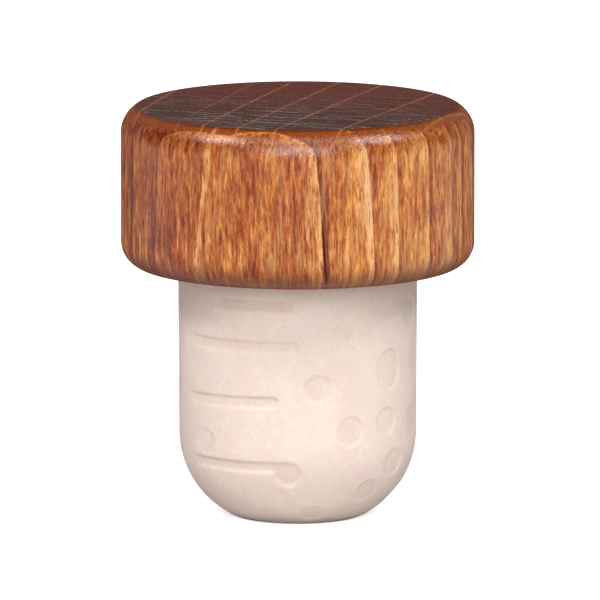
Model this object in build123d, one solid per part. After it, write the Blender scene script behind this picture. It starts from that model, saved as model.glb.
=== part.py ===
"""A bottle stopper: a turned wooden head on a moulded neck plug with marks like those of natural cork.

Millimetres, +Z up. The origin is the middle of the plug's flat foot, on which the stopper stands.
Azimuths are in degrees about Z, from the front (-Y) towards the right (+X).
"""

import os
from math import acos, asin, atan2, cos, degrees, hypot, radians, sin, sqrt, tan

from build123d import *

# Wooden head: a disc turned with its grain along Z. Each rim is an arc that leaves the side
# smoothly and, after this much of the radius, meets the flat face at a crease
head_diameter = 28.8
head_height = 13.0
top_rim_radius = 2.44
top_rim_width = 1.41
bottom_rim_radius = 2.04
bottom_rim_width = 1.22

# Neck plug: a straight sealing wall below the head and a round nose, whose arc leaves the wall
# smoothly and, after this much of the radius, meets the flat foot
plug_diameter = 19.5
plug_length = 20.7
nose_radius = 7.6
nose_width = 4.45

# Spigot of the plug, glued into a blind hole in the head's underside
spigot_diameter = 12.0
spigot_length = 6.0
glue_gap = 0.05
hole_end_gap = 0.5

# Moulded marks: their depths below the skin, and how far their walls lean outwards in degrees
faint_depth = 0.09
dot_depth = 0.15
groove_depth = 0.22
mark_draft = 15.0
mould_halves = 2

# Grooves, on both halves of the mould: azimuth of the two ends, height of the middle line at each
# end, width at the skin, and depth
grooves = [
    (-46.0, -5.0, 18.70, 18.70, 0.94, faint_depth),
    (-64.0, -2.0, 15.18, 15.26, 1.00, groove_depth),
    (-66.0, -12.0, 10.40, 10.74, 1.00, groove_depth),
    (-63.0, -7.0, 5.26, 5.36, 0.95, groove_depth),
]

# Dots: azimuth, height, radius at the skin, extra length up the skin of an oval one, and depth.
# The first ends the lowest groove, on both halves too, and the others are on the front half
end_dot = (-5.0, 4.75, 1.15, 0.0, groove_depth)
dots = [
    (-85.0, 12.00, 1.25, 0.0, dot_depth),
    (-50.5, 7.00, 1.10, 0.0, faint_depth),
    (9.7, 11.82, 1.20, 0.0, dot_depth),
    (10.0, 1.16, 1.05, 0.0, dot_depth),
    (23.0, 16.40, 1.00, 0.0, faint_depth),
    (26.5, 8.22, 1.27, 0.0, dot_depth),
    (40.6, 2.94, 1.15, 0.0, dot_depth),
    (48.2, 8.70, 1.20, 0.0, dot_depth),
    (50.0, 12.90, 1.40, 0.7, dot_depth),
    (55.3, 5.10, 1.25, 0.0, dot_depth),
    (69.5, 17.30, 1.25, 0.0, dot_depth),
    (73.4, 8.25, 1.30, 0.0, dot_depth),
    (76.0, 13.35, 1.27, 0.0, dot_depth),
    (79.0, 2.10, 1.10, 0.0, dot_depth),
]


def arc_angle(radius, width):
    """How far round an arc has come when it has covered this much of its own radius, in degrees."""
    return degrees(acos((radius - width) / radius))


def arc_height(radius, width):
    """How much an arc rises from its tangent to the side, over this width."""
    return sqrt(radius**2 - (radius - width) ** 2)


# Sizes that follow from the ones above
full_turn = 360.0
quarter_turn = 90.0
nose_rings = 10
head_radius = head_diameter / 2
plug_radius = plug_diameter / 2
spigot_radius = spigot_diameter / 2
overall_height = plug_length + head_height
nose_height = arc_height(nose_radius, nose_width)
seated = (Align.CENTER, Align.CENTER, Align.MIN)


def skin_radius(height):
    """The plug's radius at a height above its foot."""
    below_wall = max(nose_height - height, 0)
    return plug_radius - nose_radius + sqrt(nose_radius**2 - below_wall**2)


def skin_place(azimuth, height):
    """A plane on the plug's skin: x to the right along it, y up along it, z straight out of it."""
    radius = skin_radius(height)
    slope = asin(max(nose_height - height, 0) / nose_radius)
    turn = radians(azimuth)
    origin = (radius * sin(turn), -radius * cos(turn), height)
    outwards = (cos(slope) * sin(turn), -cos(slope) * cos(turn), -sin(slope))
    return Plane(origin=origin, x_dir=(cos(turn), sin(turn), 0), z_dir=outwards)


def flare(distance):
    """How much a leaning wall moves sideways over this distance out of the skin."""
    return distance * tan(radians(mark_draft))


def disc_cutter(radius, depth):
    """A round cutter about Z: its floor at the depth, this radius at the skin, and wider outside."""
    reach = radius
    cone = Cone(radius - flare(depth), radius + flare(reach), depth + reach, align=seated)
    return Pos(0, 0, -depth) * cone


def bar_section(half_width, depth):
    """The section of a long cutter: x runs out of the skin, y across the cutter."""
    reach = half_width
    inner = half_width - flare(depth)
    outer = half_width + flare(reach)
    outline = Polyline((-depth, -inner), (reach, -outer), (reach, outer), (-depth, inner), close=True)
    return make_face(outline.edges())


def dot_cutter(azimuth, height, radius, stretch, depth):
    """The cutter of one dot, square to the skin: a disc, or for an oval two discs and the bar between."""
    cutter = disc_cutter(radius, depth)
    if stretch:
        along_skin = Plane(origin=(0, 0, 0), x_dir=(0, 0, 1), z_dir=(0, 1, 0))
        bar = extrude(along_skin * bar_section(radius, depth), stretch / 2, both=True)
        cutter = Pos(0, stretch / 2, 0) * cutter + Pos(0, -stretch / 2, 0) * cutter + bar
    return skin_place(azimuth, height) * cutter


def groove_cutter(start, end, start_height, end_height, width, depth):
    """The cutter of one groove: part of a ring with round ends, tipped to its two heights."""
    height = (start_height + end_height) / 2
    middle = skin_place((start + end) / 2, height)
    radius = hypot(middle.origin.X, middle.origin.Y)
    slope = degrees(asin(middle.z_dir.Z))
    section = Plane.XZ * Pos(radius, height) * Rot(Z=slope) * bar_section(width / 2, depth)
    cutter = Rot(Z=start - quarter_turn) * revolve(section, Axis.Z, end - start)
    for azimuth in (start, end):
        cutter += skin_place(azimuth, height) * disc_cutter(width / 2, depth)
    tip = degrees(atan2(end_height - start_height, radius * radians(end - start)))
    return cutter.rotate(Axis(middle.origin, middle.z_dir), tip)


def rim_arc(radius, width, height, way):
    """A rim's arc in the section plane, from the side at this height up (way 1) or down (way -1)."""
    centre = Vector(head_radius - radius, height)
    turns = [radians(way * share * arc_angle(radius, width)) for share in (0, 0.5, 1)]
    return ThreePointArc(*[centre + Vector(radius * cos(turn), radius * sin(turn)) for turn in turns])


def wooden_head():
    """The turned disc, with the blind hole that takes the plug's spigot."""
    side_top = overall_height - arc_height(top_rim_radius, top_rim_width)
    side_bottom = plug_length + arc_height(bottom_rim_radius, bottom_rim_width)
    top_rim = rim_arc(top_rim_radius, top_rim_width, side_top, 1)
    bottom_rim = rim_arc(bottom_rim_radius, bottom_rim_width, side_bottom, -1)
    side = Line(bottom_rim @ 0, top_rim @ 0)
    inside = Polyline(top_rim @ 1, (0, overall_height), (0, plug_length), bottom_rim @ 1)
    head = revolve(Plane.XZ * make_face([top_rim, side, bottom_rim, *inside.edges()]), Axis.Z)
    hole = Cylinder(spigot_radius + glue_gap, spigot_length + hole_end_gap, align=seated)
    return head - Pos(0, 0, plug_length) * hole


def plug_blank():
    """The plug before its marks: nose, wall and spigot, from the foot up."""
    foot_turn = radians(arc_angle(nose_radius, nose_width))
    rings = []
    for ring in range(nose_rings):
        turn = foot_turn * ring / (nose_rings - 1)
        height = nose_height - nose_radius * sin(turn)
        rings.append(Pos(0, 0, height) * Circle(skin_radius(height)))
    wall = Cylinder(plug_radius, plug_length - nose_height, align=seated)
    spigot = Cylinder(spigot_radius, spigot_length, align=seated)
    return loft(rings) + Pos(0, 0, nose_height) * wall + Pos(0, 0, plug_length) * spigot


def neck_plug():
    """The moulded plug: the blank, less the marks of both halves of the mould."""
    plug = plug_blank()
    repeated = [groove_cutter(*row) for row in grooves]
    repeated.append(dot_cutter(*end_dot))
    for half in range(mould_halves):
        for cutter in repeated:
            plug -= Rot(Z=half * full_turn / mould_halves) * cutter
    for row in dots:
        plug -= dot_cutter(*row)
    return plug


os.makedirs("parts", exist_ok=True)
export_step(wooden_head(), "parts/wooden_head.step")
export_step(neck_plug(), "parts/neck_plug.step")
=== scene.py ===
"""Models the looks of a bottle stopper, a turned wooden head on a moulded neck plug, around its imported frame.

Metres, +Z up, in the frame's own axes. Azimuths are in degrees about Z, from the front (-Y) towards the
right (+X).
"""

from functools import partial
from math import acos, asin, atan2, cos, degrees, hypot, pi, radians, sin

import bpy
import numpy as np
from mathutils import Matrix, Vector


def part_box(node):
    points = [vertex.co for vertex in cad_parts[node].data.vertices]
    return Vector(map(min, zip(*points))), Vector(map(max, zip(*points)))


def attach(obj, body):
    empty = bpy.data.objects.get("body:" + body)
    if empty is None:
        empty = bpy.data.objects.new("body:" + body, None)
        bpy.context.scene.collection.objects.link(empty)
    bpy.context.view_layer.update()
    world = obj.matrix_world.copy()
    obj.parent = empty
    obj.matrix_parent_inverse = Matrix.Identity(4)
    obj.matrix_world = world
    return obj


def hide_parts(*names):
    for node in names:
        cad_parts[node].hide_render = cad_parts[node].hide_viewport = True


bl_info = {
    "name": "Bottle Stopper",
    "version": (1, 0, 0),
    "blender": (4, 5, 0),
    "location": "3D View > Sidebar > Stopper",
    "description": "Models a wooden bottle stopper with its moulded neck plug, and the stage it stands on",
    "category": "Object",
}

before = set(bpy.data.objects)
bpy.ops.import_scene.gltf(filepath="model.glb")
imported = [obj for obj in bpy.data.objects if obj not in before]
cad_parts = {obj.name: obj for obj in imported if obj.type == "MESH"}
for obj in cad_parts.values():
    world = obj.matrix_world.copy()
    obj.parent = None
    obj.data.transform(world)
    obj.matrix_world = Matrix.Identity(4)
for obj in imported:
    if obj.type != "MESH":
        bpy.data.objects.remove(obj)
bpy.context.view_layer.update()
HEAD_LOW, HEAD_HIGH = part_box("wooden_head")
PLUG_LOW, PLUG_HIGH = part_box("neck_plug")
MM = 0.001
TO_MILLIMETRES = (1 / MM, 1 / MM, 1 / MM)

# Kinds of node that are used again and again, and options that many of them share
MATH = "ShaderNodeMath"
VECTOR_MATH = "ShaderNodeVectorMath"
RANGE = "ShaderNodeMapRange"
MIX = "ShaderNodeMix"
RAMP = "ShaderNodeValToRGB"
NOISE = "ShaderNodeTexNoise"
MAPPING = "ShaderNodeMapping"
COORDINATES = "ShaderNodeTexCoord"
SEPARATE_XYZ = "ShaderNodeSeparateXYZ"
COMBINE_XYZ = "ShaderNodeCombineXYZ"
SEPARATE_COLOUR = "ShaderNodeSeparateColor"
COMBINE_COLOUR = "ShaderNodeCombineColor"
BUMP = "ShaderNodeBump"
PRINCIPLED = "ShaderNodeBsdfPrincipled"
OUTPUT = "ShaderNodeOutputMaterial"
SMOOTH = {"interpolation_type": "SMOOTHSTEP"}
COLOURS = {"data_type": "RGBA"}
STAIN = {"data_type": "RGBA", "blend_type": "MULTIPLY"}
TIMES = {"operation": "MULTIPLY"}
PLUS = {"operation": "ADD"}
PLUS_TO_ONE = {"operation": "ADD", "use_clamp": True}
MINUS = {"operation": "SUBTRACT"}
TIMES_PLUS = {"operation": "MULTIPLY_ADD"}
LARGER = {"operation": "MAXIMUM"}
ABSOLUTE = {"operation": "ABSOLUTE"}
FRACTION = {"operation": "FRACT"}
LENGTH = {"operation": "LENGTH"}
ANGLE = {"operation": "ARCTAN2"}
DEGREES = {"operation": "DEGREES"}

# Growth rings: where their axis, the pith, stands beside the stopper in millimetres, how much they lean
# with the height, and the height at which they are as listed. An angle about the pith is turned into
# millimetres across at TURN_RADIUS
PITH = (-45.0, -131.0)
RING_LEAN = 0.028
RING_MIDDLE = 27.2
RING_START = 122.0
WIDEST_RING = 4.0
TURN_RADIUS = 130.0
# Each ring: how far from the pith it ends, how much its last, light line shows, and how pale it is
RINGS = (
    (125.74, 1.00, 0.15),
    (128.42, 0.74, 0.80),
    (130.32, 0.50, 0.60),
    (133.42, 0.34, 0.40),
    (136.50, 0.36, 0.20),
    (138.30, 0.32, 0.20),
    (141.20, 0.32, 0.10),
    (144.10, 0.60, 0.30),
    (147.30, 0.45, 0.10),
    (150.20, 0.60, 0.20),
    (153.40, 0.45, 0.10),
)
# How far fibres break up the rings' edges, in millimetres, and the inner line's edges, in degrees
RING_FRAYING = 0.22
LINE_FRAYING = 2.0
# A light line inside the first ring: azimuth at the top and bottom of the side, and the side's height
INNER_LINE = (-31.2, -35.2, 9.0)
# How the wood changes from left to right: distance from the axis to the right; how much nearer to the
# pith its rings are there, as a share of LEFT_BEND, and how much farther in the upper rim, as a share of
# the range "upper bend"; and how light the stain lies. Its fall towards the right silhouette is painted
# shade of that side
ASIDE = (
    (-14.4, 1.0, 0.0, 0.18),
    (-10.8, 1.0, 0.0, 0.08),
    (-8.0, 0.0, 0.0, 0.20),
    (-5.6, 0.0, 1.0, 0.50),
    (-2.2, 0.0, 0.30, 0.36),
    (-0.2, 0.0, 0.0, 0.25),
    (1.0, 0.0, 0.0, 0.40),
    (2.0, 0.0, 0.0, 0.45),
    (5.0, 0.0, 0.0, 0.90),
    (10.0, 0.0, 0.0, 1.00),
    (14.4, 0.0, 0.0, 0.30),
)
LEFT_BEND = -1.0
# Rays that show as long lines on the end grain: their direction from the pith in degrees, and strength.
# Then half a ray's width in degrees, and how much of its colour shows
RAYS = ((14.14, 0.9), (16.17, 0.45), (17.26, 1.0), (18.69, 1.0), (20.12, 1.0), (22.29, 1.0), (24.42, 0.8))
RAY_HALF_WIDTH = 0.09
RAY_SHARE = 0.60
# Noise in the wood's own directions: cells per millimetre away from the pith, across and up, then
# detail, roughness and distortion. The order gives each pattern its place in the noise
WOOD_PATTERNS = {
    "clouds": ((0.30, 0.30, 0.08), 3.0, 0.55, 0.4),
    "tints": ((0.9, 0.9, 0.16), 2.0, 0.5, 0.5),
    "strands": ((2.7, 2.7, 0.36), 3.0, 0.62, 0.0),
    "fibres": ((5.2, 5.2, 1.00), 3.0, 0.68, 0.0),
    "tans": ((2.0, 2.0, 0.20), 3.0, 0.6, 0.0),
    "pores": ((6.0, 6.0, 0.80), 2.0, 0.50, 0.0),
    "grit": ((9.0, 9.0, 4.0), 2.0, 0.60, 0.0),
    "speckles": ((2.2, 3.6, 3.4), 3.0, 0.7, 0.8),
    "streaks": ((0.30, 0.12, 0.5), 2.0, 0.55, 0.0),
    "breaks": ((0.9, 5.0, 0.5), 3.0, 0.60, 0.0),
    "dots": ((3.4, 4.4, 3.4), 2.0, 0.60, 0.0),
    "lengths": ((1.1, 0.28, 0.5), 2.0, 0.55, 0.0),
}
PATTERN_STEP = (7.3, 4.1, 5.7)
# The grain wanders: cells per millimetre, and by how many millimetres away from the pith, across and up
WANDER_SCALE = (0.25, 0.25, 0.09)
WANDER = (0.5, 1.1, 0.0)
# The wood's tone: how much of each part is added to the strands, the level that takes off their means,
# and the settings whose colours it runs through, from dark to light
TONE_SHARES = {"fibres": 0.80, "clouds": 0.40, "phase": 0.10, "light": 0.22, "dark": -0.10, "lightness": 0.20}
TONE_LEVEL = 0.752
TONES = (
    (0.22, "deep_wood"),
    (0.36, "red_wood"),
    (0.50, "brown_wood"),
    (0.62, "golden_wood"),
    (0.78, "light_wood"),
)
RED_AT_RING_START = 0.28
PALE_SHARE = 0.75
# End grain: the direction from its front to its back, and how far its whitish streaks of painted sheen wander,
# counted in streaks
TOP_DIRECTION = (0.25, 0.97, 0.0)
ROW_WANDER = 3.0

# Ranges: the two values between which something grows, and what it gives at each of them
RANGES = {
    # Millimetres above the head's underside
    "lower spread": (2.6, 1.8, 0.0, 1.0),
    "lower rim": (2.3, 0.1, 0.0, 0.72),
    # Millimetres below the head's top
    "upper bend": (2.6, 1.2, 0.0, 0.72),
    "upper stain": (2.4, 1.2, 0.0, 0.78),
    "upper rim": (1.0, 0.38, 0.0, 0.92),
    "crease": (0.30, 0.06, 0.0, 0.75),
    "flat top": (0.035, 0.01, 0.0, 1.0),
    # Millimetres to the right of the axis
    "left lines": (-13.4, -7.5, 0.15, 1.0),
    "left ring starts": (-10.0, -1.0, 0.3, 1.0),
    # Millimetres from a ring's end, from its start, and from the pith to the back
    "last line": (0.62, 0.12, 0.0, 1.0),
    "dark start": (0.6, 0.0, 0.0, 1.0),
    "front to back": (128.0, 148.0, 0.0, 1.0),
    # Degrees past the inner line, and from the crack
    "sharp edge": (0.8, 1.2, 0.0, 1.0),
    "soft edge": (3.6, 1.4, 0.0, 1.0),
    "crack stain": (0.25, 0.85, 0.75, 0.0),
    # Values of the wood's patterns, first of those that are always read through their range: red tints,
    # tan strands, pores, speckles, dots and lengths of rows, gaps in rays, and the film's roughness
    "tints": (0.44, 0.64, 0.0, 0.38),
    "tans": (0.50, 0.62, 0.0, 0.40),
    "pores": (0.58, 0.65, 0.0, 0.55),
    "speckles": (0.34, 0.68, 0.60, 1.65),
    "dots": (0.40, 0.60, 0.15, 1.0),
    "lengths": (0.38, 0.60, 0.08, 1.0),
    "breaks": (0.34, 0.62, 0.25, 1.0),
    "grit": (0.3, 0.7, 0.30, 0.16),
    "worn lines": (0.60, 0.84, 0.40, 1.0),
    "rim specks": (0.35, 0.65, 0.0, 1.0),
    "sheen_rows": (0.50, 0.10, 0.0, 1.0),
    # Shares from 0 to 1: how light the stain lies, how light a line is, how far back, and how far turned away
    "red where dark": (0.0, 0.5, 0.25, 0.0),
    "tan where light": (0.05, 0.5, 0.25, 1.0),
    "stain on lines": (0.0, 1.0, 1.0, 0.85),
    "lines on the rim": (0.25, 1.0, 0.0, 0.9),
    "rows behind": (0.0, 1.0, 0.62, 0.10),
    "grazing": (0.35, 0.78, 0.0, 0.65),
    # Values of the polymer's patterns and of the paper's grain
    "pale patches": (0.50, 0.68, 0.0, 0.45),
    "specks": (0.35, 0.65, 0.955, 1.03),
    "paper grain": (0.0, 1.0, 0.985, 1.0),
}
RANGES = {name: dict(enumerate(row, 1)) for name, row in RANGES.items()}
# The satin lacquer: how rough the end grain makes it, and the height and strength of its relief, in
# which the pores lie below the grit
TOP_ROUGHNESS = 0.30
GRIT_HEIGHT = 0.05 * MM
GRIT_STRENGTH = 0.40
PORE_DEPTH = -0.5

# The polymer's broad tints, mottling and grain: cells per millimetre, roughness and distortion
POLYMER_PATTERNS = ((0.33, 0.55, 0.0), (1.3, 0.6, 0.4), (3.6, 0.7, 0.0))
# What the paper gives of its own to the camera, so that it is white where no shadow falls
PAPER_GLOW = 0.60

# The crack in the head's side, from its top end down: azimuth, height, width, in degrees and millimetres.
# Stain gathers beside it over CRACK_START below its top end
CRACK = ((7.8, 26.8, 0.01), (7.95, 26.3, 0.05), (8.44, 24.1, 0.12), (9.12, 22.06, 0.09), (9.4, 20.9, 0.05))
CRACK_DEPTH = 0.6
CRACK_START = 1.2

# Marks on the plug's skin, in degrees and millimetres. Grooves: azimuth and height of both ends, half
# width, depth, and how much painted shade darkens the floor towards tan, most in the top groove, which
# lies in the head's shadow. Dots: azimuth, height, radius, extra length up the skin, depth, and all of
# them get the share of painted shade set on the next line
DOT_SHADE = 0.18
FAINT = 0.07
DOT = 0.10
GROOVE = 0.17
GROOVES = (
    (-46.0, 18.70, -5.0, 18.70, 0.50, 0.14, 0.80),
    (-64.0, 15.18, -2.0, 15.26, 0.50, GROOVE, 0.35),
    (-66.0, 10.40, -12.0, 10.74, 0.50, GROOVE, 0.40),
    (-63.0, 5.26, -7.0, 5.36, 0.475, GROOVE, 0.45),
)
END_DOT = (-5.0, 4.75, 1.15, 0.0, GROOVE)
DOTS = (
    (-85.0, 12.00, 1.25, 0.0, DOT),
    (-50.5, 7.00, 1.10, 0.0, FAINT),
    (9.7, 11.82, 1.20, 0.0, DOT),
    (10.0, 1.16, 1.05, 0.0, DOT),
    (23.0, 16.40, 1.00, 0.0, FAINT),
    (26.5, 8.22, 1.27, 0.0, DOT),
    (40.6, 2.94, 1.15, 0.0, DOT),
    (48.2, 8.70, 1.20, 0.0, DOT),
    (50.0, 12.90, 1.40, 0.7, DOT),
    (55.3, 5.10, 1.25, 0.0, DOT),
    (69.5, 17.30, 1.25, 0.0, DOT),
    (73.4, 8.25, 1.30, 0.0, DOT),
    (76.0, 13.35, 1.27, 0.0, DOT),
    (79.0, 2.10, 1.10, 0.0, DOT),
)
# How far a mark's wall slopes, in millimetres: inside its upper edge, inside its lower edge, and outside
DOT_WALL = (0.22, 0.34, 0.10)
GROOVE_WALL = (0.14, 0.24, 0.06)
# How much shallower a groove's floor lies at its middle than at its upper edge, and where its left end
# runs out into the skin, in millimetres from that end
GROOVE_LEAN = 0.1
RUN_OUT = (-0.4, 1.8)
# No mark comes nearer to the head and to the foot's edge, and none is shallower, in millimetres
MARK_MARGINS = (0.1, 0.5)
LEAST_DEPTH = 0.0005

# Steps round each piece, and along its curves and straight sides
HEAD_STEPS, RIM_STEPS, SIDE_STEPS = 320, 14, 16
PLUG_STEPS, NOSE_STEPS, WALL_STEPS = 440, 72, 114
CREASE_STEPS, FOOT_STEPS = 3, 4
# Edges sharper than this, in degrees, stay edges in the shading
HEAD_EDGE, PLUG_EDGE = 20, 60

# Lamps: name, place, size and the setting of their power; and the point they face
LAMPS = (
    ("left_lamp", (-0.335, -0.15, 0.43), 0.14, "key_power"),
    ("right_lamp", (0.345, -0.14, 0.43), 0.20, "fill_power"),
    ("top_lamp", (0.0, -0.25, 0.46), 0.20, "top_power"),
    ("front_lamp", (0.0, -1.16, 0.50), 0.84, "front_power"),
)
STOPPER_MIDDLE = (0, 0, 0.02)
FLOOR_SIZE = 6.0
# The width of the camera's sensor in millimetres, its distance, and the point it faces
SENSOR = 36.0
CAMERA_DISTANCE = 0.98157
CAMERA_AIM = (0.000187, 0.003, 0.0171)


def hex_colour(text):
    """A colour written as #RRGGBB in sRGB, as linear red, green, blue and alpha."""
    parts = [int(text[place:place + 2], 16) / 255 for place in (1, 3, 5)]
    linear = [part / 12.92 if part <= 0.04045 else ((part + 0.055) / 1.055) ** 2.4 for part in parts]
    return (*linear, 1.0)


def add_node(tree, kind, options=None, inputs=None, stops=(), give=0):
    """Adds a node with its options, values or links, and its ramp's stops, and gives one of its outputs."""
    node = tree.nodes.new(kind)
    for name, value in (options or {}).items():
        setattr(node, name, value)
    for name, value in (inputs or {}).items():
        if isinstance(value, bpy.types.NodeSocket):
            tree.links.new(value, node.inputs[name])
        else:
            node.inputs[name].default_value = value
    for number, (position, colour) in enumerate(stops):
        ramp = node.color_ramp.elements
        stop = ramp[number] if number < 2 else ramp.new(position)
        stop.position = position
        stop.color = colour
    return None if give is None else node.outputs[give]


def new_material(name):
    """A node material without nodes."""
    material = bpy.data.materials.new(name)
    material.use_nodes = True
    material.node_tree.nodes.clear()
    return material


def grey(value):
    """A ramp colour that stands for a number."""
    return (value, value, value, 1.0)


def arc_points(centre, radius, start, end, steps):
    """Points (radius, height) along an arc in the section plane, between two angles in degrees."""
    turns = [radians(start + (end - start) * step / steps) for step in range(steps + 1)]
    return [(centre[0] + radius * cos(turn), centre[1] + radius * sin(turn)) for turn in turns]


def straight_points(start, end, steps):
    """Points along a straight line in the section plane, without its first one."""
    shares = [step / steps for step in range(1, steps + 1)]
    width, height = end[0] - start[0], end[1] - start[1]
    return [(start[0] + width * share, start[1] + height * share) for share in shares]


def deselect_everything():
    """Leaves nothing selected and no object in edit mode."""
    if bpy.context.object and bpy.context.object.mode != "OBJECT":
        bpy.ops.object.mode_set(mode="OBJECT")
    bpy.ops.object.select_all(action="DESELECT")


def select_only(piece):
    """Makes a piece the only selected object, and the active one."""
    deselect_everything()
    piece.select_set(True)
    bpy.context.view_layer.objects.active = piece


def turn_on_lathe(name, section, steps):
    """A closed turned piece: its section is drawn point by point in the XZ plane and spun about Z."""
    deselect_everything()
    bpy.ops.mesh.primitive_plane_add(size=MM, location=(0, 0, 0))
    piece = bpy.context.object
    piece.name = name
    bpy.ops.object.mode_set(mode="EDIT")
    bpy.ops.mesh.select_mode(type="VERT")
    bpy.ops.mesh.select_all(action="SELECT")
    bpy.ops.mesh.merge(type="CENTER")
    bpy.ops.transform.translate(value=(section[0][0], 0, section[0][1]))
    for last, point in zip(section, section[1:]):
        move = (point[0] - last[0], 0, point[1] - last[1])
        bpy.ops.mesh.extrude_region_move(TRANSFORM_OT_translate={"value": move})
    bpy.ops.mesh.select_all(action="SELECT")
    bpy.ops.mesh.spin(steps=steps, angle=2 * pi, center=(0, 0, 0), axis=(0, 0, 1))
    bpy.ops.mesh.select_all(action="SELECT")
    bpy.ops.mesh.remove_doubles(threshold=0.002 * MM)
    bpy.ops.mesh.normals_make_consistent(inside=False)
    bpy.ops.object.mode_set(mode="OBJECT")
    return piece


def select_ring(piece, radius, height):
    """Selects the edges of one ring of a turned piece, in edit mode."""
    bpy.ops.object.mode_set(mode="EDIT")
    bpy.ops.mesh.select_mode(type="EDGE")
    bpy.ops.mesh.select_all(action="DESELECT")
    bpy.ops.object.mode_set(mode="OBJECT")
    near = 0.005 * MM
    on_ring = [
        abs(hypot(vertex.co.x, vertex.co.y) - radius) < near and abs(vertex.co.z - height) < near
        for vertex in piece.data.vertices
    ]
    for edge in piece.data.edges:
        edge.select = on_ring[edge.vertices[0]] and on_ring[edge.vertices[1]]
    bpy.ops.object.mode_set(mode="EDIT")


def soften_ring(piece, radius, height, width, steps):
    """Bevels one ring of a turned piece, as a worn or moulded edge is."""
    select_ring(piece, radius, height)
    bpy.ops.mesh.bevel(offset=width, segments=steps, profile=0.5, affect="EDGES")
    bpy.ops.object.mode_set(mode="OBJECT")


def shade(piece, angle):
    """Smooth shading, with edges sharper than this angle in degrees left as edges."""
    select_only(piece)
    bpy.ops.object.shade_smooth_by_angle(angle=radians(angle))


def skin_distance(heights, section):
    """How far along the plug's section each of these heights lies, from the foot up."""
    along = [0.0]
    for last, point in zip(section, section[1:]):
        along.append(along[-1] + hypot(point[0] - last[0], point[1] - last[1]))
    return np.interp(heights, [point[1] for point in section], along)


def smooth_step(value, low, high):
    """0 below low, 1 above high, and a smooth rise between."""
    share = np.clip((value - low) / (high - low), 0, 1)
    return share * share * (3 - 2 * share)


def across_skin(azimuths, middle, radii):
    """How far round the skin each point lies from an azimuth, in millimetres."""
    return np.radians((azimuths - middle + 180) % 360 - 180) * radii / MM


def dot_depths(azimuths, along, radii, row, section):
    """How deep one dot is at each point of the skin. Its upper edge is crisper than its lower one."""
    azimuth, height, radius, stretch, depth = row
    up = (along - skin_distance([height * MM], section)[0]) / MM
    beyond = np.maximum(np.abs(up) - stretch / 2, 0)
    distance = np.hypot(across_skin(azimuths, azimuth, radii), beyond)
    upper, lower, outside = DOT_WALL
    wall = np.where(up > 0, upper, lower)
    return depth * (1 - smooth_step(distance - radius, -wall, outside))


def groove_depths(azimuths, along, radii, row, section):
    """How deep one groove is at each point of the skin: deepest under its upper edge, shallower below."""
    left, left_height, right, right_height, half_width, depth, _ = row
    aside = across_skin(azimuths, (left + right) / 2, radii)
    half_length = radians(right - left) / 2 * radii / MM
    share = np.clip(aside / half_length, -1, 1)
    low, high = skin_distance([left_height * MM, right_height * MM], section) / MM
    up = along / MM - (low + high) / 2 - share * (high - low) / 2
    over = np.maximum(np.abs(aside) - half_length, 0)
    distance = np.hypot(over, up)
    upper, lower, outside = GROOVE_WALL
    wall = np.where(up > 0, upper, lower)
    bowl = 1 - smooth_step(distance - half_width, -wall, outside)
    lean = 1 - GROOVE_LEAN * (1 - np.clip(up / half_width, -1, 1))
    run_out = smooth_step(aside + half_length + over, *RUN_OUT)
    return depth * bowl * lean * run_out


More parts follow.
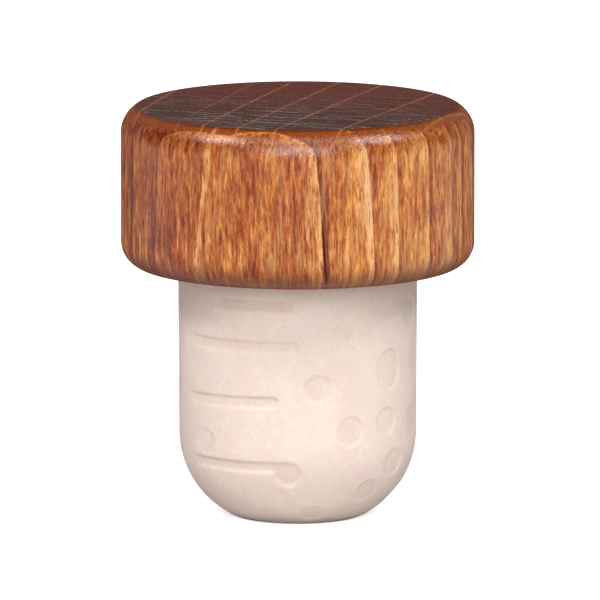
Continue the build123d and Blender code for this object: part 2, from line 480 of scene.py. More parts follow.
def wood_material(settings):
    """Stained open-grained hardwood, turned and lacquered satin, with its grain along Z.

    On the side the eye sees fine upright strands between gold and red-brown, short dark pores and, where a
    growth ring ends, one long light line with darker wood behind it. The end grain has soaked up the stain
    and is nearly black-brown, crossed by thin light rays, and the rounded rims lie between the two.
    """
    material = new_material("hardwood_stained_and_lacquered")
    add = partial(add_node, material.node_tree)
    place = add(COORDINATES, give="Object")
    own_x = add(SEPARATE_XYZ, None, {0: place})
    own_y, own_z = own_x.node.outputs[1:]
    # Millimetres above the head's underside and below its top
    above = add(MATH, TIMES_PLUS, {0: own_z, 1: 1 / MM, 2: -HEAD_LOW.z / MM})
    below_top = add(MATH, MINUS, {0: (HEAD_HIGH.z - HEAD_LOW.z) / MM, 1: above})

    # On the lower rim the side's pattern carries on downwards, so its places are read farther out
    reach = HEAD_HIGH.x / MM
    inside_rim = reach - settings.foot_width / MM
    out = add(VECTOR_MATH, TIMES, {0: place, 1: (1 / MM, 1 / MM, 0)})
    out = add(VECTOR_MATH, LENGTH, {0: out}, give=1)
    farther = add(RANGE, None, {0: out, 1: inside_rim, 2: reach, 3: reach / inside_rim, 4: 1.0})
    on_rim = add(RANGE, SMOOTH, {0: above, **RANGES["lower spread"]})
    farther = add(MIX, None, {0: on_rim, 2: 1.0, 3: farther})
    farther = add(COMBINE_XYZ, None, {0: farther, 1: farther, 2: 1.0})
    spread = add(VECTOR_MATH, TIMES, {0: place, 1: farther})

    # Millimetres from the pith to the right, to the back and above RING_MIDDLE, then out and round it
    from_pith = add(MAPPING, None, {
        "Vector": spread, "Location": (-PITH[0], -PITH[1], -RING_MIDDLE), "Scale": TO_MILLIMETRES})
    right = add(SEPARATE_XYZ, None, {0: from_pith})
    back, up = right.node.outputs[1:]
    aside = add(MATH, PLUS, {0: right, 1: PITH[0]})
    level = add(COMBINE_XYZ, None, {0: right, 1: back})
    distance = add(VECTOR_MATH, LENGTH, {0: level}, give=1)
    leaning = add(MATH, TIMES_PLUS, {0: up, 1: RING_LEAN, 2: distance})
    turn = add(MATH, ANGLE, {0: right, 1: back})
    across = add(MATH, TIMES, {0: turn, 1: TURN_RADIUS})
    straight_grain = add(COMBINE_XYZ, None, {0: leaning, 1: across, 2: up})
    slow = add(MAPPING, None, {"Vector": straight_grain, "Scale": WANDER_SCALE})
    wander = add(NOISE, None, {"Vector": slow, "Scale": 1.0, "Detail": 1.0, "Roughness": 0.5}, give=1)
    wander = add(VECTOR_MATH, MINUS, {0: wander, 1: (0.5, 0.5, 0.5)})
    grain = add(VECTOR_MATH, TIMES_PLUS, {0: wander, 1: WANDER, 2: straight_grain})
    patterns = {}
    for number, (name, (scale, detail, roughness, distortion)) in enumerate(WOOD_PATTERNS.items(), 1):
        stretched = add(MAPPING, None, {
            "Vector": grain, "Scale": scale, "Location": [step * number for step in PATTERN_STEP]})
        patterns[name] = add(NOISE, None, {
            "Vector": stretched, "Scale": 1.0, "Detail": detail, "Roughness": roughness,
            "Distortion": distortion})
    shares = {
        name: add(RANGE, SMOOTH, {0: pattern, **RANGES[name]})
        for name, pattern in patterns.items() if name in RANGES}

    # Growth rings: where a place lies among them, bent on the left and in the upper rim
    from_left = add(RANGE, None, {0: aside, 1: -reach, 2: reach})
    bends = add(RAMP, None, {0: from_left}, [
        ((beside + reach) / (2 * reach), (left, upper_bend, stain, 1.0))
        for beside, left, upper_bend, stain in ASIDE])
    bend = add(SEPARATE_COLOUR, None, {0: bends})
    # The stain's lightness falls towards the right silhouette as painted shade
    rim_bend, lightness = bend.node.outputs[1:]
    in_rim = add(RANGE, SMOOTH, {0: below_top, **RANGES["upper bend"]})
    ring = add(SEPARATE_XYZ, None, {0: grain})
    ring = add(MATH, TIMES_PLUS, {0: bend, 1: LEFT_BEND, 2: ring})
    ring = add(MATH, TIMES_PLUS, {0: patterns["fibres"], 1: RING_FRAYING, 2: ring})
    ring = add(MATH, MINUS, {0: ring, 1: RING_FRAYING / 2})
    ring = add(MATH, TIMES_PLUS, {0: rim_bend, 1: in_rim, 2: ring})
    # Their count so far, whose fraction is the phase of one, and what the table says of that one
    starts = [RING_START, *(row[0] for row in RINGS)]
    span = starts[-1] - starts[0]
    through = add(RANGE, None, {0: ring, 1: starts[0], 2: starts[-1]})
    count = add(RAMP, None, {0: through}, [
        ((start - starts[0]) / span, grey(place_in_row / len(RINGS)))
        for place_in_row, start in enumerate(starts)])
    count = add(MATH, TIMES, {0: count, 1: len(RINGS)})
    phase = add(MATH, FRACTION, {0: count})
    which = add(MATH, {"operation": "FLOOR"}, {0: count})
    which = add(MATH, TIMES_PLUS, {0: which, 1: 1 / len(RINGS), 2: 0.5 / len(RINGS)})
    facts = add(RAMP, None, {0: which}, [
        (place_in_row / len(RINGS), (row[1], row[2], (row[0] - start) / WIDEST_RING, 1.0))
        for place_in_row, (row, start) in enumerate(zip(RINGS, starts))])
    facts.node.color_ramp.interpolation = "CONSTANT"
    line_share = add(SEPARATE_COLOUR, None, {0: facts})
    paleness, width = line_share.node.outputs[1:]
    width = add(MATH, TIMES, {0: width, 1: WIDEST_RING})
    since_start = add(MATH, TIMES, {0: phase, 1: width})
    to_end = add(MATH, MINUS, {0: width, 1: since_start})
    # The last 0.6 mm of a ring turns light, and the first 0.6 mm of the next is dark. Round the left of
    # the front both lie flat in the surface, and are fainter
    light = add(RANGE, None, {0: to_end, **RANGES["last line"]})
    worn = add(MATH, TIMES_PLUS, {0: patterns["fibres"], 1: 0.5, 2: patterns["tans"]})
    worn = add(RANGE, SMOOTH, {0: worn, **RANGES["worn lines"]})
    far_left = add(RANGE, SMOOTH, {0: aside, **RANGES["left lines"]})
    for share in (line_share, worn, far_left):
        light = add(MATH, TIMES, {0: light, 1: share})
    dark = add(RANGE, SMOOTH, {0: since_start, **RANGES["dark start"]})
    dark_share = add(RANGE, SMOOTH, {0: aside, **RANGES["left ring starts"]})
    dark = add(MATH, TIMES, {0: dark, 1: dark_share})

    # The light line inside the first ring, by the azimuth about the stopper's own axis
    own_front = add(MATH, TIMES, {0: own_y, 1: -1.0})
    azimuth = add(MATH, ANGLE, {0: own_x, 1: own_front})
    azimuth = add(MATH, DEGREES, {0: azimuth})
    line_top, line_bottom, line_height = INNER_LINE
    lean = (line_top - line_bottom) / line_height
    past = add(MATH, TIMES_PLUS, {0: up, 1: -lean, 2: -(line_top + line_bottom) / 2})
    past = add(MATH, PLUS, {0: azimuth, 1: past})
    past = add(MATH, TIMES_PLUS, {0: patterns["fibres"], 1: LINE_FRAYING, 2: past})
    sharp_edge = add(RANGE, SMOOTH, {0: past, **RANGES["sharp edge"]})
    soft_edge = add(RANGE, SMOOTH, {0: past, **RANGES["soft edge"]})
    inner = add(MATH, TIMES, {0: soft_edge, 1: sharp_edge})
    light = add(MATH, LARGER, {0: light, 1: inner})

    # One tone from dark red-brown, 0, to pale gold, 1, gathers strands, fibres, rings and clouds
    tone = patterns["strands"]
    parts = {**patterns, "phase": phase, "light": light, "dark": dark, "lightness": lightness}
    for name, share in TONE_SHARES.items():
        tone = add(MATH, TIMES_PLUS, {0: parts[name], 1: share, 2: tone})
    tone = add(MATH, MINUS, {0: tone, 1: TONE_LEVEL})
    wood = add(RAMP, None, {0: tone}, [(level, getattr(settings, name)) for level, name in TONES])
    # Redder tints about 1 mm wide, most of them where a ring starts and on the left
    tint = add(MATH, TIMES_PLUS, {0: dark, 1: RED_AT_RING_START, 2: shares["tints"]})
    redder = add(RANGE, None, {0: lightness, **RANGES["red where dark"]})
    tint = add(MATH, PLUS_TO_ONE, {0: redder, 1: tint})
    # Some strands are a duller tan, and some of the rings' last lines are pale
    yellower = add(RANGE, None, {0: lightness, **RANGES["tan where light"]})
    tan = add(MATH, TIMES, {0: shares["tans"], 1: yellower})
    pale = add(MATH, TIMES, {0: paleness, 1: light})
    pale = add(MATH, TIMES, {0: pale, 1: PALE_SHARE})

    # Rims: the end grain starts to show, so they take more stain, and the rings' last lines stand out
    turned_over = add(RANGE, SMOOTH, {0: below_top, **RANGES["upper stain"]})
    unstained = add(RANGE, None, {0: light, **RANGES["stain on lines"]})
    turned_over = add(MATH, TIMES, {0: turned_over, 1: unstained})
    upper = add(RANGE, SMOOTH, {0: below_top, **RANGES["upper rim"]})
    rim_line = add(RANGE, SMOOTH, {0: light, **RANGES["lines on the rim"]})
    rim_shade = add(RANGE, None, {0: patterns["fibres"], **RANGES["rim specks"]})
    rim = add(MIX, COLOURS, {0: rim_shade, 6: settings.rim, 7: settings.rim_light}, give=2)
    rim = add(MIX, COLOURS, {0: rim_line, 6: rim, 7: settings.rim_line}, give=2)
    # Darker along the crease at the edge of the flat top
    crease = add(RANGE, SMOOTH, {0: below_top, **RANGES["crease"]})
    # The lower rim darkens towards the underside: the end grain's stain, with painted shade of its downward
    # face
    lower = add(RANGE, SMOOTH, {0: above, **RANGES["lower rim"]})

    # Stain has gathered along the crack
    (high_turn, high, _), _, (low_turn, low, _) = CRACK[1:4]
    lean = (low_turn - high_turn) / (low - high)
    crack = add(MATH, TIMES_PLUS, {0: up, 1: lean, 2: high_turn - lean * (high - RING_MIDDLE)})
    gap = add(MATH, MINUS, {0: azimuth, 1: crack})
    gap = add(MATH, ABSOLUTE, {0: gap})
    gathered = add(RANGE, SMOOTH, {0: gap, **RANGES["crack stain"]})
    crack_top = CRACK[0][1] - RING_MIDDLE
    below = add(RANGE, SMOOTH, {0: up, 1: crack_top, 2: crack_top - CRACK_START})
    gathered = add(MATH, TIMES, {0: gathered, 1: below})

    # Rays, about 0.2 mm wide where they are half as strong, and a little broken
    turns = add(MATH, DEGREES, {0: turn})
    rays = 0.0
    for angle, strength in RAYS:
        gap = add(MATH, MINUS, {0: turns, 1: angle})
        gap = add(MATH, ABSOLUTE, {0: gap})
        line = add(RANGE, SMOOTH, {0: gap, 1: 0.0, 2: RAY_HALF_WIDTH, 3: strength, 4: 0.0})
        rays = add(MATH, LARGER, {0: rays, 1: line})
    rays = add(MATH, TIMES, {0: shares["breaks"], 1: rays})
    rays = add(MATH, TIMES, {0: rays, 1: RAY_SHARE})
    rim_rays = add(MATH, TIMES, {0: rays, 1: upper})

    # The pores are dark dashes about 0.1 mm wide and 1 mm long
    for way, share, colour in (
        (STAIN, tint, settings.red_stain),
        (COLOURS, tan, settings.tan_wood),
        (COLOURS, pale, settings.pale_line),
        (COLOURS, shares["pores"], settings.deep_wood),
        (STAIN, turned_over, settings.rim_stain),
        (COLOURS, upper, rim),
        (COLOURS, crease, settings.crease_wood),
        (COLOURS, lower, settings.lower_rim_stain_and_shade),
        (COLOURS, gathered, settings.deep_wood),
        (COLOURS, rim_rays, settings.rim_line),
    ):
        wood = add(MIX, way, {0: share, 6: wood, 7: colour}, give=2)

    # End grain: grey-purple in front and red-brown behind, speckled
    behind = add(VECTOR_MATH, {"operation": "DOT_PRODUCT"}, {0: from_pith, 1: TOP_DIRECTION}, give=1)
    behind = add(RANGE, SMOOTH, {0: behind, **RANGES["front to back"]})
    speckle = add(COMBINE_COLOUR, None, dict.fromkeys(range(3), shares["speckles"]))
    # Whitish streaks along the rings, painted sheen where fibres catch the light, about 1 mm apart, broken, and
    # strongest in front
    sheen_rows = add(MATH, TIMES_PLUS, {0: patterns["streaks"], 1: ROW_WANDER, 2: leaning})
    sheen_rows = add(MATH, FRACTION, {0: sheen_rows})
    sheen_rows = add(RANGE, SMOOTH, {0: sheen_rows, **RANGES["sheen_rows"]})
    fading = add(RANGE, None, {0: behind, **RANGES["rows behind"]})
    for share in (shares["dots"], shares["lengths"], fading):
        sheen_rows = add(MATH, TIMES, {0: sheen_rows, 1: share})
    end_grain = settings.end_front
    for way, share, colour in (
        (COLOURS, behind, settings.end_back),
        (STAIN, 1.0, speckle),
        (COLOURS, sheen_rows, settings.end_sheen_streaks),
        (COLOURS, rays, settings.ray),
    ):
        end_grain = add(MIX, way, {0: share, 6: end_grain, 7: colour}, give=2)
    flat_top = add(RANGE, None, {0: below_top, **RANGES["flat top"]})
    colour = add(MIX, COLOURS, {0: flat_top, 6: wood, 7: end_grain}, give=2)

    # Grit in the film breaks the gloss into sparkles, and pores lie below it
    relief = add(MATH, TIMES_PLUS, {0: shares["pores"], 1: PORE_DEPTH, 2: patterns["grit"]})
    bump = add(BUMP, None, {"Strength": GRIT_STRENGTH, "Distance": GRIT_HEIGHT, "Height": relief})
    rough = add(MATH, TIMES_PLUS, {0: flat_top, 1: TOP_ROUGHNESS, 2: shares["grit"]})
    # Seen along it, the satin film scatters more and mirrors less
    facing = add("ShaderNodeLayerWeight", None, {"Blend": 0.5}, give="Facing")
    grazing = add(RANGE, SMOOTH, {0: facing, **RANGES["grazing"]})
    rough = add(MATH, PLUS_TO_ONE, {0: grazing, 1: rough})
    surface = add(PRINCIPLED, None, {
        "Base Color": colour, "Roughness": rough, "Normal": bump, "IOR": 1.5})
    add(OUTPUT, None, {"Surface": surface}, give=None)
    return material


def crack_shade_material(settings):
    """Bare split wood inside the crack, without stain or lacquer, painted almost black as the shade in so
    narrow a gap.
    """
    material = new_material("hardwood_split")
    add = partial(add_node, material.node_tree)
    place = add(COORDINATES, give="Object")
    stretched = add(MAPPING, None, {"Vector": place, "Scale": (9 / MM, 9 / MM, 0.9 / MM)})
    fibres = add(NOISE, None, {"Vector": stretched, "Scale": 1.0, "Detail": 2.0})
    colour = add(RAMP, None, {0: fibres}, [(0.35, settings.shaded_torn_wood), (0.65, settings.deep_wood)])
    surface = add(PRINCIPLED, None, {"Base Color": colour, "Roughness": 0.8})
    add(OUTPUT, None, {"Surface": surface}, give=None)
    return material


def polymer_material(settings):
    """Foamed thermoplastic elastomer, moulded in a pinkish beige with a fine matt skin.

    The eye sees no gloss, a faint mottling between cream and pink, and a grain of about 0.2 mm.
    """
    material = new_material("thermoplastic_elastomer_foamed_and_moulded")
    add = partial(add_node, material.node_tree)
    place = add(COORDINATES, give="Object")
    millimetres = add(MAPPING, None, {"Vector": place, "Scale": TO_MILLIMETRES})
    broad, mottle, fine = (
        add(NOISE, None, {
            "Vector": millimetres, "Scale": scale, "Detail": 3.0, "Roughness": roughness,
            "Distortion": distortion})
        for scale, roughness, distortion in POLYMER_PATTERNS)
    colour = add(RAMP, None, {0: broad}, [
        (0.36, settings.pink),
        (0.50, settings.beige),
        (0.64, settings.cream),
    ])
    patch = add(RANGE, None, {0: mottle, **RANGES["pale patches"]})
    speck = add(RANGE, None, {0: fine, **RANGES["specks"]})
    speck = add(COMBINE_COLOUR, None, dict.fromkeys(range(3), speck))
    # Painted shade: the floors of the marks are darkened a little towards tan
    tan = add("ShaderNodeAttribute", {"attribute_name": "tan"}, give="Fac")
    for way, share, tint in (
        (COLOURS, patch, settings.pale),
        (STAIN, 1.0, speck),
        (STAIN, tan, settings.mark_shade_tint),
    ):
        colour = add(MIX, way, {0: share, 6: colour, 7: tint}, give=2)
    relief = add(MATH, TIMES_PLUS, {0: mottle, 1: 0.8, 2: fine})
    bump = add(BUMP, None, {"Strength": 0.25, "Distance": 0.04 * MM, "Height": relief})
    surface = add(PRINCIPLED, None, {
        "Base Color": colour,
        "Roughness": 0.62,
        "Normal": bump,
        "IOR": 1.5,
        "Specular IOR Level": 0.35,
        "Subsurface Weight": 0.12,
        "Subsurface Radius": (1.0, 0.7, 0.5),
        "Subsurface Scale": 0.8 * MM,
    })
    add(OUTPUT, None, {"Surface": surface}, give=None)
    return material


def paper_material(colour):
    """Seamless studio paper: matt and even, and white to the camera where no shadow falls on it."""
    material = new_material("studio_paper_matt")
    add = partial(add_node, material.node_tree)
    place = add(COORDINATES, give="Object")
    grain = add(NOISE, None, {"Vector": place, "Scale": 0.9 / MM, "Detail": 2.0})
    shade_of = add(RANGE, None, {0: grain, **RANGES["paper grain"]})
    shades = add(COMBINE_COLOUR, None, dict.fromkeys(range(3), shade_of))
    paper = add(MIX, STAIN, {0: 1.0, 6: colour, 7: shades}, give=2)
    # Only the camera sees the glow, so the lacquer mirrors plain paper
    seen = add("ShaderNodeLightPath", give="Is Camera Ray")
    lift = add(MATH, TIMES, {0: seen, 1: PAPER_GLOW})
    diffuse = add("ShaderNodeBsdfDiffuse", None, {"Color": paper, "Roughness": 1.0})
    glow = add("ShaderNodeEmission", None, {"Color": grey(1.0), "Strength": lift})
    surface = add("ShaderNodeAddShader", None, {0: diffuse, 1: glow})
    add(OUTPUT, None, {"Surface": surface}, give=None)
    return material


def colour_setting(name, description, text):
    """A colour in the panel, whose default is written as #RRGGBB."""
    return bpy.props.FloatVectorProperty(
        name=name, description=description, default=hex_colour(text), subtype="COLOR", size=4)


def length_setting(name, description, millimetres):
    """A length in the panel, whose default is given in millimetres."""
    return bpy.props.FloatProperty(
        name=name, description=description, default=millimetres * MM, unit="LENGTH", precision=5)


class HeadSettings(bpy.types.PropertyGroup):
    """Sizes and colours of the wooden head."""

    rim_radius: length_setting("Top rim radius", "Radius of the arc that rounds the top rim", 2.44)
    rim_width: length_setting("Top rim width", "How much of the radius the top rim's arc covers", 1.41)
    foot_radius: length_setting("Bottom rim radius", "Radius of the arc that rounds the bottom rim", 2.04)
    foot_width: length_setting("Bottom rim width", "How much of the radius the bottom rim's arc covers", 1.22)
    hole_radius: length_setting("Hole radius", "Radius of the blind hole that takes the plug's spigot", 6.05)
    hole_depth: length_setting("Hole depth", "Depth of the blind hole", 6.5)
    crease: length_setting(
        "Crease width", "How far the crease between rim and flat face is rubbed round", 0.07)
    # Deep wood is also one of the two colours of the painted shade inside the crack
    deep_wood: colour_setting("Deep wood", "The darkest strands, the pores and the crack", "#6A2E16")
    red_wood: colour_setting("Red wood", "Red-brown strands", "#98441F")
    brown_wood: colour_setting("Brown wood", "The middle tone of the strands", "#B86932")
    golden_wood: colour_setting("Golden wood", "Golden strands", "#D08742")
    light_wood: colour_setting("Light wood", "The lightest strands and the rings' last lines", "#E8AC66")
    pale_line: colour_setting("Pale line", "The palest of the rings' last lines", "#E8C29C")
    red_stain: colour_setting("Red stain", "What the redder tints multiply the wood by", "#E2A8A0")
    tan_wood: colour_setting("Tan wood", "Duller strands", "#BE9058")
    rim_stain: colour_setting(
        "Rim stain", "What the wood is multiplied by where it turns over to the upper rim", "#C0A79C")
    rim: colour_setting("Upper rim", "The stained rim next to the flat top", "#6A2A0C")
    rim_light: colour_setting("Upper rim, light", "The lighter specks of that rim", "#944818")
    rim_line: colour_setting("Rim line", "The rings' last lines on the upper rim", "#C87A3A")
    # A darker colour along the crease at the edge of the flat top
    crease_wood: colour_setting("Crease", "Stain that has gathered at the edge of the flat top", "#4A220E")
    # Partly painted shade: the lower rim's colour holds the shade of its downward face as well as the end
    # grain's stain
    lower_rim_stain_and_shade: colour_setting("Lower rim", "The stained rim next to the underside", "#662A12")
    end_front: colour_setting("End grain in front", "The flat top's front part", "#3A1B13")
    end_back: colour_setting("End grain behind", "The flat top's back part", "#521B08")
    # Painted sheen: whitish streaks where the end grain's fibres catch the light
    end_sheen_streaks: colour_setting(
        "End grain streaks", "Whitish streaks along the rings on the flat top", "#A8988F")
    ray: colour_setting("Ray", "Rays on the flat top", "#AC6C50")
    # Painted shade: the darkest colour of the crack's walls, for the shade deep in the gap
    shaded_torn_wood: colour_setting("Torn wood", "The darkest fibres inside the crack", "#26120A")


class PlugSettings(bpy.types.PropertyGroup):
    """Sizes and colours of the neck plug."""

    nose_radius: length_setting("Nose radius", "Radius of the arc that rounds the nose", 7.6)
    nose_height: length_setting("Nose height", "Where the nose's arc starts, above the foot", 6.92)
    taper: length_setting(
        "Taper", "How much slimmer the wall is at the nose than at the head, on the radius", 0.07)
    spigot_radius: length_setting("Spigot radius", "Radius of the spigot in the head", 6.0)
    spigot_length: length_setting("Spigot length", "Length of the spigot in the head", 6.0)
    foot_blend: length_setting("Foot blend", "How far the edge of the flat foot is rounded", 0.6)
    beige: colour_setting("Beige", "The plug's main colour", "#EAD7CB")
    pink: colour_setting("Pink", "Its pinkish mottling", "#E9D3C9")
    cream: colour_setting("Cream", "Its creamy mottling", "#ECDACB")
    pale: colour_setting("Pale", "Its palest specks", "#EEE0D6")
    # Painted shade: what the marks' floors multiply the plug's colour by
    mark_shade_tint: colour_setting(
        "Mark tint", "What the floors of the marks multiply the plug's colour by", "#F4EEE6")


class StageSettings(bpy.types.PropertyGroup):
    """Floor, lamps and camera."""

    paper: colour_setting("Paper", "Colour of the floor", "#D8D8D8")
    key_power: bpy.props.FloatProperty(
        name="Left lamp", description="Power of the small soft lamp on the left", default=1.24, unit="POWER")
    fill_power: bpy.props.FloatProperty(
        name="Right lamp", description="Power of the small soft lamp on the right", default=1.44,
        unit="POWER")
    top_power: bpy.props.FloatProperty(
        name="Top lamp", description="Power of the small soft lamp high in front", default=0.43, unit="POWER")
    front_power: bpy.props.FloatProperty(
        name="Front lamp", description="Power of the large lamp above the camera", default=12.5, unit="POWER")
    sky: bpy.props.FloatProperty(
        name="Room light", description="Strength of the even light of the room", default=0.06,
        min=0.0, max=1.0, subtype="FACTOR")
    pitch: bpy.props.FloatProperty(
        name="Camera pitch", description="How far the camera looks down", default=radians(9.674),
        subtype="ANGLE")
    lens: bpy.props.FloatProperty(
        name="Lens", description="Focal length in millimetres on a 36 mm sensor", default=720.0, unit="CAMERA")


class STOPPER_OT_head(bpy.types.Operator):
    """Turn the wooden head, crack its side and finish it in stained and lacquered hardwood"""

    bl_idname = "stopper.head"
    bl_label = "Wooden Head"

    def execute(self, context):
        settings = context.scene.stopper_head
        radius = HEAD_HIGH.x
        top = HEAD_HIGH.z
        bottom = HEAD_LOW.z
        upper_turn = degrees(acos(1 - settings.rim_width / settings.rim_radius))
        lower_turn = degrees(acos(1 - settings.foot_width / settings.foot_radius))
        upper = (radius - settings.rim_radius, top - settings.rim_radius * sin(radians(upper_turn)))
        lower = (radius - settings.foot_radius, bottom + settings.foot_radius * sin(radians(lower_turn)))
        flat_radius = radius - settings.rim_width
        under_radius = radius - settings.foot_width
        section = [(0, top), (flat_radius / 2, top)]
        section += arc_points(upper, settings.rim_radius, upper_turn, 0, RIM_STEPS)
        section += straight_points((radius, upper[1]), (radius, lower[1]), SIDE_STEPS)
        section += arc_points(lower, settings.foot_radius, 0, -lower_turn, RIM_STEPS)[1:]
        section += [(settings.hole_radius, bottom), (settings.hole_radius, bottom + settings.hole_depth)]
        section += [(0, bottom + settings.hole_depth)]
        head = turn_on_lathe("wooden_head_looks", section, HEAD_STEPS)
        soften_ring(head, flat_radius, top, settings.crease, CREASE_STEPS)
        soften_ring(head, under_radius, bottom, settings.crease, CREASE_STEPS)
        head.data.materials.append(wood_material(settings))
        # The crack's walls take a material of painted shade
        cutter = self.crack_cutter(radius)
        cutter.data.materials.append(crack_shade_material(settings))
        select_only(head)
        crack = head.modifiers.new("crack", "BOOLEAN")
        crack.operation = "DIFFERENCE"
        crack.solver = "EXACT"
        crack.material_mode = "TRANSFER"
        crack.object = cutter
        bpy.ops.object.modifier_apply(modifier=crack.name)
        bpy.data.objects.remove(cutter)
        shade(head, HEAD_EDGE)
        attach(head, "root")
        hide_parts("wooden_head")
        return {"FINISHED"}

    def crack_cutter(self, radius):
        """A thin blade along the crack: a plane at its top end, extruded down from place to place."""
        deselect_everything()
        bpy.ops.mesh.primitive_plane_add(size=MM, location=(0, 0, 0))
        blade = bpy.context.object
        blade.name = "crack_blade"
        bpy.ops.object.mode_set(mode="EDIT")
        bpy.ops.mesh.select_all(action="SELECT")
        azimuth, height, width = CRACK[0]
        bpy.ops.transform.resize(value=(width, 2 * CRACK_DEPTH, 1), center_override=(0, 0, 0))
        turn = radians(azimuth)
        bpy.ops.transform.translate(value=(radius * sin(turn), -radius * cos(turn), height * MM))
        for last, place in zip(CRACK, CRACK[1:]):
            start = radians(last[0])
            end = radians(place[0])
            down = (place[1] - last[1]) * MM
            move = (radius * (sin(end) - sin(start)), -radius * (cos(end) - cos(start)), down)
            bpy.ops.mesh.extrude_region_move(TRANSFORM_OT_translate={"value": move})
            centre = (radius * sin(end), -radius * cos(end), place[1] * MM)
            bpy.ops.transform.resize(value=(place[2] / last[2], 1, 1), center_override=centre)
        bpy.ops.mesh.select_all(action="SELECT")
        bpy.ops.mesh.normals_make_consistent(inside=False)
        bpy.ops.object.mode_set(mode="OBJECT")
        return blade


class STOPPER_OT_plug(bpy.types.Operator):
    """Turn the neck plug, press its grooves and dots into its skin and finish it in matt elastomer"""

    bl_idname = "stopper.plug"
    bl_label = "Neck Plug"

    def execute(self, context):
        settings = context.scene.stopper_plug
        radius = PLUG_HIGH.x
        foot = PLUG_LOW.z
        shoulder = HEAD_LOW.z
        nose_top = foot + settings.nose_height
        nose_centre = radius - settings.taper - settings.nose_radius
        foot_turn = degrees(asin(settings.nose_height / settings.nose_radius))
        skin = arc_points((nose_centre, nose_top), settings.nose_radius, -foot_turn, 0, NOSE_STEPS)
        skin += straight_points((radius - settings.taper, nose_top), (radius, shoulder), WALL_STEPS)
        spigot_top = shoulder + settings.spigot_length
        spigot = [(settings.spigot_radius, shoulder), (settings.spigot_radius, spigot_top), (0, spigot_top)]
        plug = turn_on_lathe("neck_plug_looks", [(0, foot)] + skin + spigot, PLUG_STEPS)
        self.press_marks(plug, skin)
        foot_radius = skin[0][0]
        soften_ring(plug, foot_radius, foot, settings.foot_blend, FOOT_STEPS)
        plug.data.materials.append(polymer_material(settings))
        shade(plug, PLUG_EDGE)
        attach(plug, "root")
        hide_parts("neck_plug")
        return {"FINISHED"}

    def press_marks(self, plug, skin):
        """Weights the skin by its marks' depths, pushes it in with a Displace modifier and notes painted shade
        as tan.
        """
        count = len(plug.data.vertices)
        places = np.zeros(count * 3)
        plug.data.vertices.foreach_get("co", places)
        places = places.reshape(-1, 3)
        azimuths = np.degrees(np.arctan2(places[:, 0], -places[:, 1]))
        radii = np.maximum(np.hypot(places[:, 0], places[:, 1]), MM)
        heights = places[:, 2]
        along = skin_distance(heights, skin)
        depths = np.zeros(count)
        tans = np.zeros(count)
        dots = [*DOTS, END_DOT, (END_DOT[0] + 180, *END_DOT[1:])]
        for half in (0, 180):
            for row in GROOVES:
                turned = (row[0] + half, row[1], row[2] + half, *row[3:])
                pressed = groove_depths(azimuths, along, radii, turned, skin)
                depths = np.maximum(depths, pressed)
                tans = np.maximum(tans, pressed / row[5] * row[6])
        for row in dots:
            pressed = dot_depths(azimuths, along, radii, row, skin)
            depths = np.maximum(depths, pressed)
            tans = np.maximum(tans, pressed / row[4] * DOT_SHADE)
        below_head, round_foot = MARK_MARGINS
        on_skin = (heights < HEAD_LOW.z - below_head * MM) & (radii > skin[0][0] + round_foot * MM)
        depths = np.where(on_skin, depths, 0.0)
        # The tan attribute holds the painted shade of the marks' floors
        tan = plug.data.attributes.new("tan", "FLOAT", "POINT")
        tan.data.foreach_set("value", np.where(on_skin, tans, 0.0))
        deepest = float(depths.max())
        group = plug.vertex_groups.new(name="marks")
        for number in np.nonzero(depths > LEAST_DEPTH)[0]:
            group.add([int(number)], float(depths[number] / deepest), "REPLACE")
        select_only(plug)
        press = plug.modifiers.new("press marks", "DISPLACE")
        press.direction = "NORMAL"
        press.mid_level = 0.0
        press.strength = -deepest * MM
        press.vertex_group = group.name
        bpy.ops.object.modifier_apply(modifier=press.name)


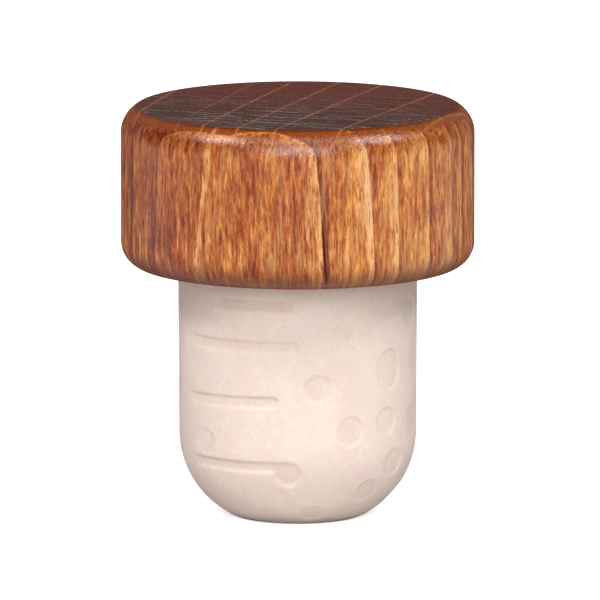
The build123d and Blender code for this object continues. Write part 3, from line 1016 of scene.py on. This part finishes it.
class STOPPER_OT_stage(bpy.types.Operator):
    """Lay the paper floor, hang the lamps and set the camera"""

    bl_idname = "stopper.stage"
    bl_label = "Stage"

    def execute(self, context):
        settings = context.scene.stopper_stage
        deselect_everything()
        bpy.ops.mesh.primitive_plane_add(size=FLOOR_SIZE, location=(0, 0, 0))
        floor = context.object
        floor.name = "paper_floor"
        floor.data.materials.append(paper_material(settings.paper))
        for name, place, size, power in LAMPS:
            self.hang_lamp(name, place, size, getattr(settings, power))
        self.paint_room(context.scene, settings.sky)
        right, back, up = CAMERA_AIM
        ahead = CAMERA_DISTANCE * cos(settings.pitch)
        above = CAMERA_DISTANCE * sin(settings.pitch)
        turn = (pi / 2 - settings.pitch, 0, 0)
        bpy.ops.object.camera_add(location=(right, back - ahead, up + above), rotation=turn)
        camera = context.object
        camera.data.sensor_width = SENSOR
        camera.data.lens = settings.lens
        camera.data.clip_start = 0.01
        camera.data.clip_end = 20.0
        context.scene.camera = camera
        context.scene.view_settings.view_transform = "Standard"
        return {"FINISHED"}

    def paint_room(self, scene, strength):
        """A dim even room that the camera sees as white."""
        world = bpy.data.worlds.new("room")
        scene.world = world
        world.use_nodes = True
        tree = world.node_tree
        tree.nodes.clear()
        seen = add_node(tree, "ShaderNodeLightPath", give="Is Camera Ray")
        level = add_node(tree, MATH, TIMES_PLUS, {0: seen, 1: 1.0 - strength, 2: strength})
        room = add_node(tree, "ShaderNodeBackground", None, {"Color": grey(1.0), "Strength": level})
        add_node(tree, "ShaderNodeOutputWorld", None, {"Surface": room}, give=None)

    def hang_lamp(self, name, place, size, power):
        """A square soft lamp, turned to face the stopper."""
        aside, ahead, up = (aim - start for aim, start in zip(STOPPER_MIDDLE, place))
        flat = hypot(aside, ahead)
        turn = (atan2(flat, -up), 0, atan2(ahead, aside) - pi / 2)
        bpy.ops.object.light_add(type="AREA", location=place, rotation=turn)
        lamp = bpy.context.object
        lamp.name = name
        lamp.data.shape = "SQUARE"
        lamp.data.size = size
        lamp.data.energy = power


class STOPPER_PT_panel(bpy.types.Panel):
    """The stopper's pieces and stage"""

    bl_idname = "STOPPER_PT_panel"
    bl_label = "Bottle Stopper"
    bl_space_type = "VIEW_3D"
    bl_region_type = "UI"
    bl_category = "Stopper"

    def draw(self, context):
        for operator in OPERATORS:
            self.layout.operator(operator.bl_idname)
        for group in SETTINGS:
            settings = getattr(context.scene, group)
            box = self.layout.box()
            for name in settings.bl_rna.properties.keys():
                if name not in ("rna_type", "name"):
                    box.prop(settings, name)


OPERATORS = (STOPPER_OT_head, STOPPER_OT_plug, STOPPER_OT_stage)
SETTINGS = {"stopper_head": HeadSettings, "stopper_plug": PlugSettings, "stopper_stage": StageSettings}
CLASSES = (*SETTINGS.values(), *OPERATORS, STOPPER_PT_panel)


def register():
    """Adds the settings, operators and panel."""
    for kind in CLASSES:
        bpy.utils.register_class(kind)
    for name, kind in SETTINGS.items():
        setattr(bpy.types.Scene, name, bpy.props.PointerProperty(type=kind))


def unregister():
    """Takes them away again."""
    for name in SETTINGS:
        delattr(bpy.types.Scene, name)
    for kind in reversed(CLASSES):
        bpy.utils.unregister_class(kind)


def main():
    """Makes every piece in order."""
    register()
    bpy.ops.stopper.head()
    bpy.ops.stopper.plug()
    bpy.ops.stopper.stage()


if __name__ == "__main__":
    main()
